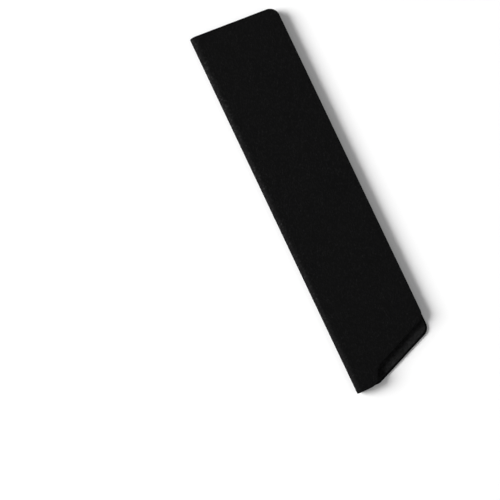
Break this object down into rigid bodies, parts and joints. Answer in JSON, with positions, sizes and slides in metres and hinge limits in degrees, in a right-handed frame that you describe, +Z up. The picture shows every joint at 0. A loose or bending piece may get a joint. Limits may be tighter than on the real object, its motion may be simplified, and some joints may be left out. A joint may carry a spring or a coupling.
{
  "type": "knife blade guard",
  "caption": "Folded plastic sheath for a kitchen knife's blade: a sprung fold along the cutting edge joins two long leaves, lined with felt, that pinch the blade between them.",
  "frame": {"origin": "under the middle of the guard, on the face that it rests on", "axes": "+X along the fold towards the mouth, where the knife's handle comes out; +Y from the fold to the open long edge; +Z up, from the rear leaf to the front leaf"},
  "size_m": [0.226, 0.0531, 0.0064],
  "materials": {
    "shell": "black polypropylene sheet with a fine pebble grain",
    "lining": "black pressed felt"
  },
  "bodies": {
    "rear_half": {"rear_leaf": "shell", "rear_bend": "shell", "rear_felt": "lining", "rear_bend_felt": "lining"},
    "front_half": {"front_leaf": "shell", "front_bend": "shell", "front_felt": "lining", "front_bend_felt": "lining"}
  },
  "joints": [
    {"name": "leaf_hinge", "type": "hinge", "parent": "rear_half", "child": "front_half", "pos_m": [0, -0.0265, 0.0032], "axis": [1, 0, 0], "range_deg": [0, 25], "stiffness_Nm_per_rad": 1.7}
  ]
}
